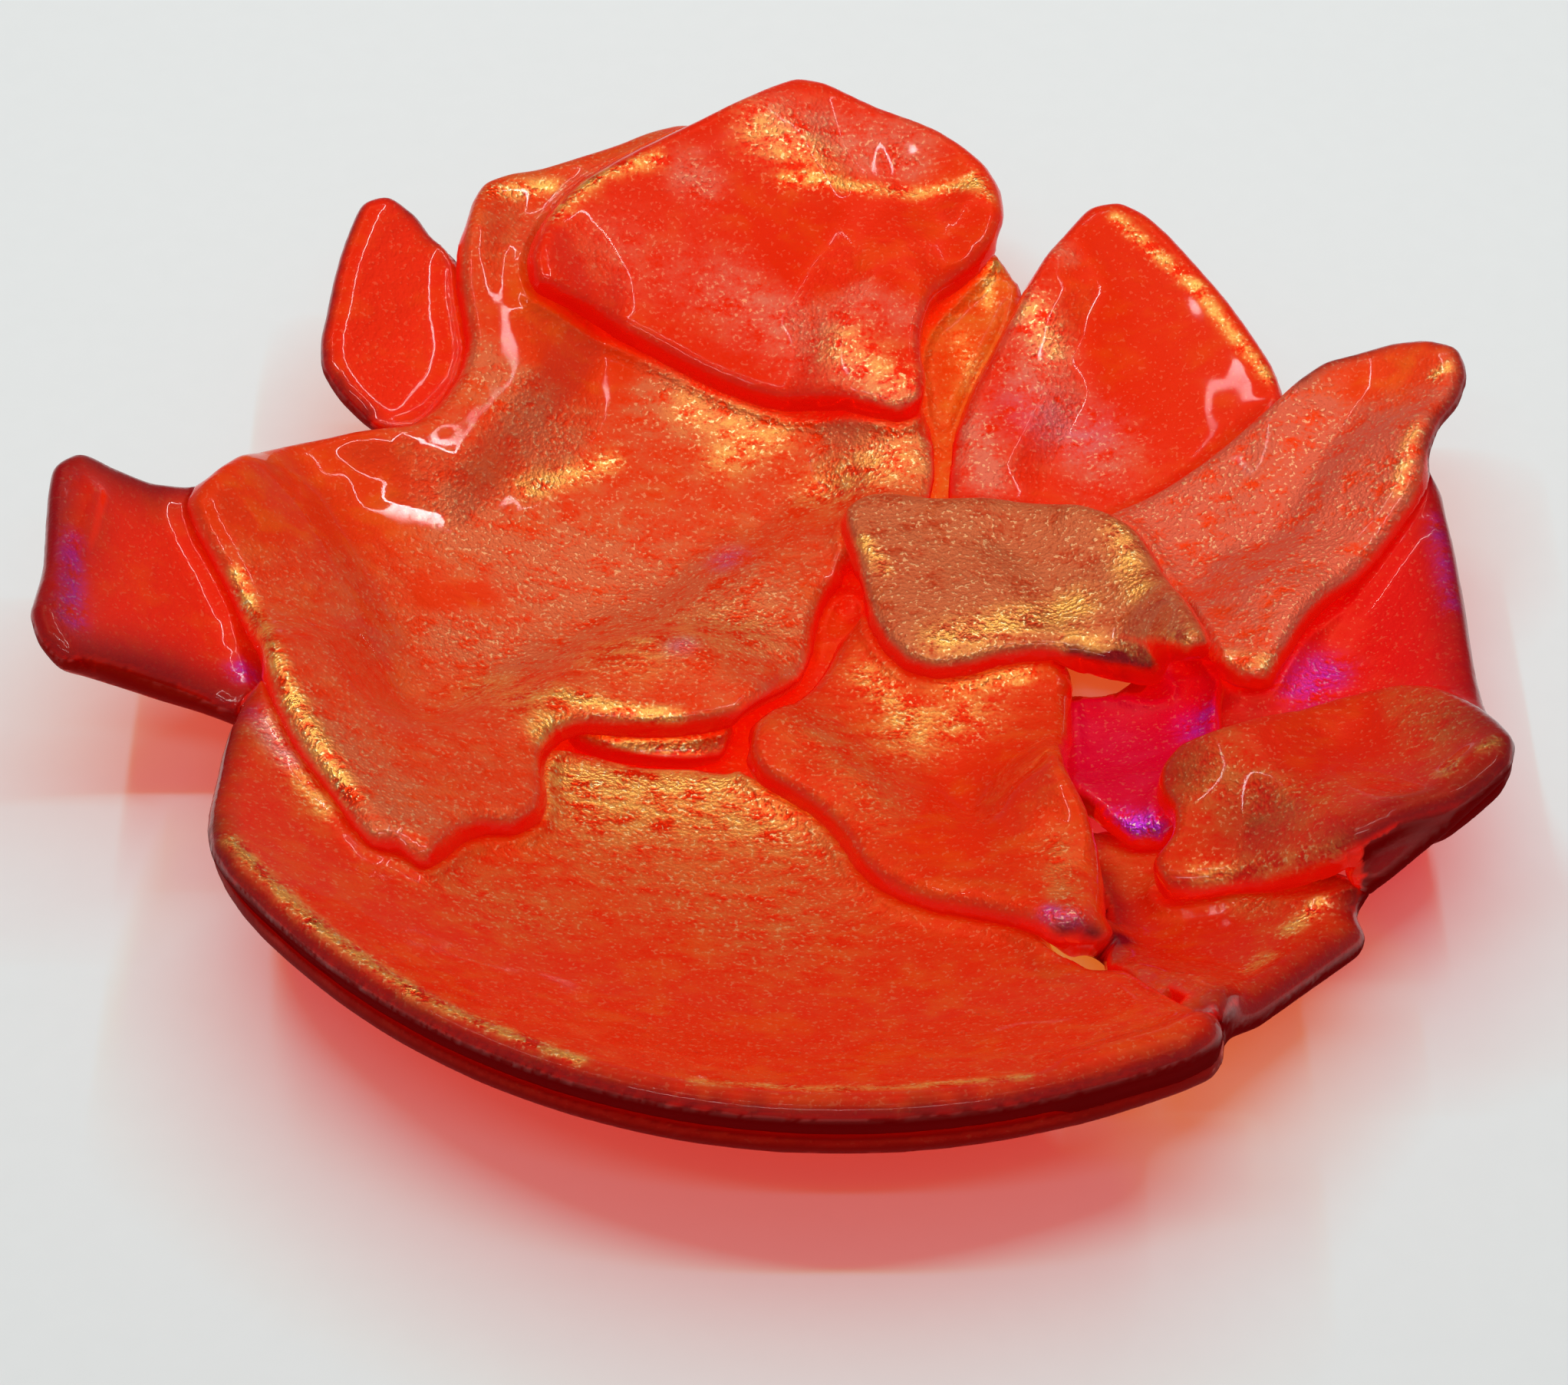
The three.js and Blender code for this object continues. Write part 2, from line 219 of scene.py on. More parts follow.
class ShaderTree:
    """Builds a material's nodes from expressions."""

    def __init__(self, name: str) -> None:
        """Makes an empty material of that name."""
        self.material = bpy.data.materials.new(name)
        self.material.use_nodes = True
        self.material.cycles.emission_sampling = "NONE"
        self.nodes = self.material.node_tree.nodes
        self.links = self.material.node_tree.links
        self.nodes.clear()

    def node(self, kind: str, settings: dict, values: "list | dict", output: "int | str" = 0) -> Socket:
        """Adds a node.

        Args:
            kind: the node's type.
            settings: its settings, set before its values.
            values: numbers or sockets for its inputs, in order or by name.
            output: which output to return.

        Returns:
            The output as a Socket.
        """
        made = self.nodes.new(kind)
        for key, value in settings.items():
            setattr(made, key, value)
        pairs = values.items() if isinstance(values, dict) else enumerate(values)
        for key, value in pairs:
            if isinstance(value, Socket):
                self.links.new(value.socket, made.inputs[key])
            else:
                made.inputs[key].default_value = value
        return Socket(self, made.outputs[output])

    def noise(self, place: Socket, size_mm: float, detail: float) -> Socket:
        """Smooth noise about 0.5 on average.

        Args:
            place: where the noise is read.
            size_mm: the size of its patches in millimetres.
            detail: how many finer layers it has.

        Returns:
            The noise.
        """
        values = {"Vector": place, "Scale": 1.0 / (size_mm * MM), "Detail": detail}
        return self.node("ShaderNodeTexNoise", {}, values)

    def mix(self, share: Socket, low: "Socket | Colour", high: "Socket | Colour") -> Socket:
        """Mixes two colours.

        Args:
            share: 0 for the low colour alone, 1 for the high colour alone.
            low: the first colour.
            high: the second colour.

        Returns:
            The mixed colour.
        """
        made = self.nodes.new("ShaderNodeMix")
        made.data_type = "RGBA"
        self.links.new(share.socket, made.inputs[MIX_SHARE])
        for key, value in ((MIX_LOW, low), (MIX_HIGH, high)):
            if isinstance(value, Socket):
                self.links.new(value.socket, made.inputs[key])
            else:
                made.inputs[key].default_value = (*value, 1.0)
        return Socket(self, made.outputs[MIX_COLOUR])

    def moved(self, operation: str, place: Socket, other: Place) -> Socket:
        """Shifts or stretches places.

        Args:
            operation: the vector operation's name.
            place: the places.
            other: the vector that they are shifted or stretched by.

        Returns:
            The new places.
        """
        return self.node("ShaderNodeVectorMath", {"operation": operation}, [place, other])

    def principled(self, **values: "Socket | float | tuple") -> Socket:
        """Adds a Principled shader.

        Args:
            values: its inputs by name, with underscores for spaces.

        Returns:
            The shader.
        """
        named = {name.replace("_", " "): value for name, value in values.items()}
        return self.node("ShaderNodeBsdfPrincipled", {}, named)

    def blend(self, share: Socket, low: Socket, high: Socket) -> Socket:
        """Mixes two shaders, 0 for the low one alone and 1 for the high one alone."""
        return self.node("ShaderNodeMixShader", {}, [share, low, high])

    def attribute(self, name: str) -> Socket:
        """A number painted on the mesh."""
        return self.node("ShaderNodeAttribute", {"attribute_name": name}, {}, "Fac")

    def place(self) -> Socket:
        """Object coordinates."""
        return self.node("ShaderNodeTexCoord", {}, {}, "Object")

    def finish(self, surface: Socket, volume: "Socket | None" = None) -> bpy.types.Material:
        """Links the shaders to the material's output."""
        out = self.nodes.new("ShaderNodeOutputMaterial")
        self.links.new(surface.socket, out.inputs["Surface"])
        if volume is not None:
            self.links.new(volume.socket, out.inputs["Volume"])
        return self.material


class Wash(Enum):
    """What the film can be painted with, and SHADE, which is painted shade on lips and outer edges."""

    GOLD = "gold"
    VIOLET = "violet"
    HAZE = "haze"
    CLEAR = "clear"
    SHADE = "shade"


@dataclass(frozen=True)
class Film:
    """What the painted film gives the shader: its colour, how far it is a mirror, its bumps and its gold."""

    colour: Socket
    metal: Socket
    height: Socket
    gold: Socket


@dataclass(frozen=True)
class GlassFinish:
    """Coloured glass under a thin iridescent film."""

    name: str
    tint: Colour
    body: Colour
    haze: Colour
    spread: float = 0.0

    def material(self) -> bpy.types.Material:
        """Builds the material.

        Returns:
            The finished material.
        """
        tree = ShaderTree(self.name)
        # deep carries painted shade: 1 on the bowl's outer edges, which it darkens and dulls.
        top = tree.attribute("top")
        deep = tree.attribute("deep")
        gloss = tree.attribute("gloss")
        film = self._film(tree, top, deep)
        # Painted glow: the sides give off red light, less where painted shade lies.
        glow = tree.mix(((1.0 - top) * (1.0 - GLOW_FADE * deep)).clamped(), BLACK, GLOW)
        bump = {"Strength": BUMP_STRENGTH, "Distance": BUMP_DISTANCE, "Height": film.height}
        shiny = tree.principled(
            Base_Color=film.colour,
            Metallic=film.metal,
            Roughness=SIDE_ROUGHNESS + (TOP_ROUGHNESS - GOLD_SMOOTHNESS * film.gold) * top,
            Specular_IOR_Level=FILM_SPECULAR,
            Specular_Tint=FILM_SPECULAR_TINT,
            Coat_Weight=gloss,
            Coat_Roughness=COAT_ROUGHNESS,
            Coat_IOR=COAT_IOR,
            Emission_Color=glow,
            Emission_Strength=1.0,
            Normal=tree.node("ShaderNodeBump", {}, bump),
        )
        # Where painted shade lies on the outer edges, a matte skin takes away their reflections.
        matte = tree.principled(Base_Color=film.colour, Roughness=1.0, Specular_IOR_Level=0.0)
        skin = tree.blend((deep * (1.0 - gloss)).clamped(), shiny, matte)
        glass = tree.principled(
            Base_Color=WHITE,
            Roughness=GLASS_ROUGHNESS + FROSTING * top,
            IOR=GLASS_IOR,
            Specular_Tint=GLASS_SPECULAR_TINT,
            Transmission_Weight=1.0,
        )
        cover = TOP_COVER * top + (1.0 - top) * (SIDE_COVER + SHADED_EDGE_COVER * deep)
        seen = tree.blend(cover, glass, skin)
        shadow = tree.node("ShaderNodeLightPath", {}, {}, "Is Shadow Ray")
        scattered = Socket(tree, shadow.socket.node.outputs["Is Diffuse Ray"])
        through = tree.node("ShaderNodeBsdfTransparent", {}, {"Color": THROUGH})
        surface = tree.blend((shadow + scattered).clamped(), seen, through)
        absorbing = {"Color": (*self.tint, 1.0), "Density": GLASS_DENSITY}
        return tree.finish(surface, tree.node("ShaderNodeVolumeAbsorption", {}, absorbing))

    def _film(self, tree: ShaderTree, top: Socket, deep: Socket) -> Film:
        """Mixes the film's colours from the painted strokes, with painted glints and painted shade.

        Args:
            tree: the material being built.
            top: 1 on the sheet's upper face.
            deep: 1 on the bowl's own edges, where it paints shade.

        Returns:
            The film.
        """
        place = tree.place()
        grain = tree.noise(place, GRAIN_MM, 1.0)
        fine = tree.noise(tree.moved("MULTIPLY", place, FINE_STRETCH), FINE_MM, 3.0)
        mottle = tree.noise(place, MOTTLE_MM, 1.0)
        gold = tree.attribute(Wash.GOLD.value)
        violet = tree.attribute(Wash.VIOLET.value)
        haze = (tree.attribute(Wash.HAZE.value) + self.spread - tree.attribute(Wash.CLEAR.value)).clamped()
        shade = tree.attribute(Wash.SHADE.value).clamped()
        spots = (grain * SPOT_GRAIN + fine * SPOT_FINE - 1.0) * SPOT_CONTRAST
        red, green, blue = self.body
        warm = (red, WARM_GREEN * green + WARM_GREEN_LIFT, WARM_BLUE * blue)
        toned = tree.mix((mottle + fine - 0.5).ramp(*WARM_RANGE), self.body, warm)
        hazy = tree.mix((haze * (spots + HAZE_FULLNESS)).clamped(), toned, self.haze)
        golden = tree.mix((gold * (spots + GOLD_FULLNESS)).clamped(), hazy, GOLD_FILM)
        coated = tree.mix((violet * (spots + VIOLET_FULLNESS)).clamped(), golden, VIOLET_FILM)
        # Painted glints: single grains are painted a bright gold and made more like a mirror.
        glinting = GLINT_BARE + GLINT_ON_GOLD * gold + GLINT_ON_FILM * haze + GLINT_ON_FILM * violet
        glint = grain.ramp(*GLINT_RANGE) * glinting.clamped()
        # Painted shade darkens lips and outer edges towards SHADE.
        shaded = tree.mix(shade, tree.mix(glint, coated, GLINT), SHADE)
        # The sides: inner edges keep their bright red, outer edges take the dark colour of painted shade.
        side = tree.mix(deep, BRIGHT_SIDE, SHADED_EDGE_COLOUR)
        shine = SHINE_BARE + SHINE_OF_COLOUR * gold + SHINE_OF_COLOUR * violet + SHINE_OF_HAZE * haze
        shine = shine + SHINE_OF_GLINTS * glint
        rough_film = (BARE_GRAIN + haze + gold + violet).clamped()
        return Film(
            colour=tree.mix(top, side, shaded),
            metal=(shine * top * (1.0 - SHADE_DULLING * shade)).clamped(),
            height=((grain - 0.5) * rough_film + FINE_HEIGHT * (fine - 0.5)) * top,
            gold=gold,
        )


class Glass(Enum):
    """The glasses of the bowl, each with its clear tint, its film's colour, its haze and its spread."""

    SCARLET = GlassFinish("scarlet glass", (0.995, 0.64, 0.08), (0.86, 0.014, 0.001), (0.62, 0.04, 0.06))
    CRIMSON = GlassFinish("crimson glass", (0.995, 0.40, 0.15), (0.82, 0.005, 0.004), (0.62, 0.04, 0.06))
    RED_ORANGE = GlassFinish(
        "red-orange glass",
        (0.995, 0.70, 0.10),
        (0.78, 0.034, 0.002),
        (0.66, 0.13, 0.045),
        0.3,
    )
    ROSE = GlassFinish(
        "rose-coated glass",
        (0.995, 0.60, 0.20),
        (0.82, 0.018, 0.001),
        (0.74, 0.15, 0.085),
    )
    SALMON = GlassFinish(
        "salmon-coated glass",
        (0.995, 0.60, 0.20),
        (0.86, 0.045, 0.004),
        (0.70, 0.12, 0.06),
        0.5,
    )
    ORANGE = GlassFinish(
        "orange glass",
        (0.995, 0.78, 0.10),
        (0.78, 0.022, 0.0008),
        (0.66, 0.13, 0.028),
        0.1,
    )
    AMBER = GlassFinish("amber glass", (0.995, 0.70, 0.20), (0.86, 0.050, 0.001), (0.76, 0.2, 0.03), 0.2)
    EMBER = GlassFinish("ember glass", (0.995, 0.70, 0.15), (0.68, 0.014, 0.001), (0.54, 0.11, 0.022), 0.15)
    MAGENTA = GlassFinish("magenta glass", (0.995, 0.30, 0.45), (0.70, 0.0005, 0.028), (0.70, 0.05, 0.42))
    GOLD = GlassFinish(
        "gold-coated glass",
        (0.995, 0.65, 0.20),
        (0.46, 0.05, 0.012),
        (0.54, 0.13, 0.045),
        0.3,
    )


@dataclass(frozen=True)
class Patch:
    """A soft stroke of film or of painted shade on a shard, from start to end in millimetres seen from
    above.
    """

    wash: Wash
    start: tuple[float, float]
    end: tuple[float, float]
    reach_mm: float
    strength: float = 1.0

    def amount(self, place: np.ndarray) -> np.ndarray:
        """How strong the stroke is at each place.

        Args:
            place: plan places in millimetres, one row each.

        Returns:
            The strength at each place.
        """
        start = np.array(self.start)
        along = np.array(self.end) - start
        share = np.clip(((place - start) @ along) / max(along @ along, 1e-9), 0.0, 1.0)
        away = np.linalg.norm(place - start - share[:, None] * along, axis=1)
        return self.strength * np.exp(-((away / self.reach_mm) ** 2))


@dataclass(frozen=True)
class Rope:
    """A swollen edge: glass that drew up into a round bead along a line, in millimetres."""

    points: tuple[Place, ...]
    radius_mm: float

    def add(self) -> None:
        """Adds the bead's balls to the mesh in edit mode."""
        step = 0.5 * self.radius_mm
        for start, end in zip(self.points, self.points[1:]):
            first, last = np.array(start), np.array(end)
            count = max(int(np.linalg.norm(last - first) / step), 1)
            for index in range(count + 1):
                spot = first + (last - first) * index / count
                bpy.ops.mesh.primitive_ico_sphere_add(
                    subdivisions=2, radius=self.radius_mm * MM, location=tuple(spot * MM)
                )


@dataclass
class Melt:
    """The one skin that the shards share once the fire has joined them."""

    reach_mm: float = 1.5
    swell_mm: float = 0.05
    grid_mm: float = 0.5
    ripple_mm: float = 0.11
    hold_mm: float = 2.0
    rounds: int = 8
    tree: "BVHTree | None" = field(default=None, init=False)

    def build(self, pieces: list[bpy.types.Object]) -> None:
        """Closes the notches between the shards and keeps the skin for look-ups.

        Args:
            pieces: the rounded shards, before they flow together.
        """
        skin = joined("melt", pieces)
        displaced(skin, self.reach_mm)
        remeshed(skin, self.grid_mm)
        displaced(skin, self.swell_mm - self.reach_mm)
        remeshed(skin, self.grid_mm)
        relaxed(skin, self.rounds)
        clouds = bpy.data.textures.new("ripple", "CLOUDS")
        clouds.noise_scale = RIPPLE_SCALE
        clouds.noise_depth = 1
        ripple = skin.modifiers.new("ripple", "DISPLACE")
        ripple.texture = clouds
        ripple.texture_coords = "LOCAL"
        ripple.direction = "Z"
        ripple.strength = 2 * self.ripple_mm * MM
        ripple.mid_level = 0.5
        apply(skin, ripple)
        self.tree = BVHTree.FromObject(skin, bpy.context.evaluated_depsgraph_get())
        LOG.info("melt: %d faces", len(skin.data.polygons))
        bpy.data.objects.remove(skin)

    def drawn(self, place: np.ndarray, normal: np.ndarray, depth_mm: float) -> tuple[np.ndarray, ...]:
        """Draws places to the skin where it is near and faces the same way.

        Args:
            place: places in metres, one row each.
            normal: the way out at each place.
            depth_mm: how far under the skin they come to lie.

        Returns:
            The new places, the way out of the skin nearest to each, and 1 where that is a free edge,
            with no glass below it.
        """
        drawn = place.copy()
        outs = normal.copy()
        free = np.zeros(len(place))
        hold = self.hold_mm * MM
        for index, (spot, way) in enumerate(zip(place, normal)):
            found, out, _, away = self.tree.find_nearest(spot, hold)
            if found is None:
                continue
            facing = min(max(out.dot(way) / FACING_FULLY, 0.0), 1.0)
            near = min(max(2.0 - 2.0 * away / hold, 0.0), 1.0)
            goal = found - out * depth_mm * MM
            drawn[index] += facing * near * (np.array(goal) - spot)
            outs[index] = out
            if abs(out.z) < STEEP_NORMAL:
                beside = found + Vector((out.x, out.y, 0.0)).normalized() * BESIDE_MM * MM
                free[index] = self.tree.ray_cast(beside, (0.0, 0.0, -1.0))[0] is None
        drawn[:, 2] = np.maximum(drawn[:, 2], FLOOR_GAP_MM * MM)
        return drawn, outs, free


@dataclass
class Shard:
    """One sheet of glass in the bowl."""

    node: str
    glass: Glass
    slot: str
    # How strongly painted shade darkens the shard's outer edges.
    edge_shade: float
    patches: tuple[Patch, ...] = ()
    ropes: tuple[Rope, ...] = ()
    # How far painted shade reaches in from the bowl's outer edge, in millimetres; 0 for none.
    fade_mm: float = 0.0
    piece: "bpy.types.Object | None" = field(default=None, init=False)

    def shape(self) -> bpy.types.Object:
        """Makes the shard with its edges rounded by the fire.

        Returns:
            The shard's object.
        """
        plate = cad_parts[self.node]
        self.piece = bpy.data.objects.new(f"{self.node}_glass", plate.data.copy())
        bpy.context.scene.collection.objects.link(self.piece)
        only(self.piece)
        bpy.ops.object.mode_set(mode="EDIT")
        bpy.ops.mesh.select_all(action="SELECT")
        bpy.ops.mesh.remove_doubles(threshold=WELD_MM * MM)
        bpy.ops.mesh.normals_make_consistent(inside=False)
        for rope in self.ropes:
            rope.add()
        bpy.ops.object.mode_set(mode="OBJECT")
        remeshed(self.piece, SHARD_GRID_MM)
        displaced(self.piece, SHARD_SWELL_MM)
        relaxed(self.piece, SHARD_ROUNDS)
        return self.piece

    def finish(self, melt: Melt, layer: int, materials: dict[Glass, bpy.types.Material]) -> None:
        """Lets the shard flow into the others, and dresses it.

        Args:
            melt: the skin that all the shards share.
            layer: its place in the pile, from the top.
            materials: the finished glasses.
        """
        mesh = self.piece.data
        count = len(mesh.vertices)
        place = np.empty(count * 3)
        before = np.empty(count * 3)
        mesh.vertices.foreach_get("co", place)
        mesh.vertices.foreach_get("normal", before)
        before = before.reshape(-1, 3)
        flowed, outs, free = melt.drawn(place.reshape(-1, 3), before, LAYER_STEP_MM * layer)
        mesh.vertices.foreach_set("co", flowed.ravel())
        mesh.update()
        self._paint(flowed / MM, before, outs, free)
        relaxed(self.piece, LAST_ROUNDS)
        bpy.ops.object.shade_smooth()
        mesh.materials.clear()
        mesh.materials.append(materials[self.glass])
        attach(self.piece, "root")
        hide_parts(self.node)

    def _paint(self, place: np.ndarray, before: np.ndarray, after: np.ndarray, free: np.ndarray) -> None:
        """Paints the vertices with what the material reads.

        top is 1 on the sheet's upper face, deep is 1 on the bowl's own edges, where it paints shade, and
        gloss is 1 on its shoulders. The rest are the washes of the film, and shade, which paints shade on
        lips and along the outer edges.

        Args:
            place: the vertices in millimetres.
            before: the way out at each of them, before the shards flowed together.
            after: the way out of the joined skin nearest to each.
            free: 1 on the bowl's own edges.
        """
        sideways = free * rising(np.hypot(after[:, 0], after[:, 1]), *SIDE_RANGE)
        sheet = rising(before[:, 2], *SHEET_RANGE)
        upward = rising(after[:, 2], *UPWARD_RANGE)
        sloping = 1.0 - rising(before[:, 2], *FLAT_RANGE)
        layers = {
            "top": np.minimum(sheet, upward),
            # deep is painted shade on the bowl's outer edges.
            "deep": self.edge_shade * sideways,
            "gloss": sloping * rising(after[:, 2], *LIT_RANGE),
        }
        for wash in Wash:
            total = np.zeros(len(place))
            for patch in self.patches:
                if patch.wash is wash:
                    total += patch.amount(place[:, :2])
            layers[wash.value] = total
        # Painted shade along the bowl's outer edges.
        layers[Wash.SHADE.value] += EDGE_DARKNESS * self._fade(place, sideways > OUTER_EDGE)
        for name, values in layers.items():
            layer = self.piece.data.attributes.new(name, "FLOAT", "POINT")
            layer.data.foreach_set("value", values.astype(np.float32))

    def _fade(self, place: np.ndarray, outer: np.ndarray) -> np.ndarray:
        """How near each vertex lies to the shard's outer edge, where painted shade darkens the glass.

        Args:
            place: the vertices in millimetres.
            outer: which of them are on the bowl's own edge.

        Returns:
            1 at the edge, falling to 0 away from it.
        """
        if self.fade_mm == 0.0 or not outer.any():
            return np.zeros(len(place))
        edge = KDTree(int(outer.sum()))
        for index, spot in enumerate(place[outer]):
            edge.insert(spot, index)
        edge.balance()
        away = np.array([edge.find(spot)[2] for spot in place])
        return np.exp(-((away / self.fade_mm) ** 2))


def rising(values: np.ndarray, low: float, high: float) -> np.ndarray:
    """0 below low, 1 above high, and straight between."""
    return np.clip((values - low) / (high - low), 0.0, 1.0)


def only(piece: bpy.types.Object) -> None:
    """Selects one object alone and makes it active."""
    bpy.ops.object.select_all(action="DESELECT")
    piece.select_set(True)
    bpy.context.view_layer.objects.active = piece


def apply(piece: bpy.types.Object, modifier: bpy.types.Modifier) -> None:
    """Applies a modifier."""
    only(piece)
    bpy.ops.object.modifier_apply(modifier=modifier.name)


def joined(name: str, pieces: list[bpy.types.Object]) -> bpy.types.Object:
    """Copies the pieces into one object.

    Args:
        name: the new object's name.
        pieces: the objects to copy.

    Returns:
        The new object.
    """
    copies = [bpy.data.objects.new(name, piece.data.copy()) for piece in pieces]
    for copy in copies:
        bpy.context.scene.collection.objects.link(copy)
    only(copies[0])
    for copy in copies:
        copy.select_set(True)
    bpy.ops.object.join()
    return bpy.context.object


def remeshed(piece: bpy.types.Object, grid_mm: float) -> None:
    """Rebuilds a closed skin round everything in the piece."""
    remesh = piece.modifiers.new("remesh", "REMESH")
    remesh.mode = "VOXEL"
    remesh.voxel_size = grid_mm * MM
    apply(piece, remesh)


def relaxed(piece: bpy.types.Object, rounds: int) -> None:
    """Smooths the piece."""
    relax = piece.modifiers.new("relax", "SMOOTH")
    relax.factor = 0.5
    relax.iterations = rounds
    apply(piece, relax)


def displaced(piece: bpy.types.Object, way_mm: float) -> None:
    """Moves the skin outward, or inward when the way is negative."""
    push = piece.modifiers.new("push", "DISPLACE")
    push.mid_level = 0.0
    push.strength = way_mm * MM
    apply(piece, push)


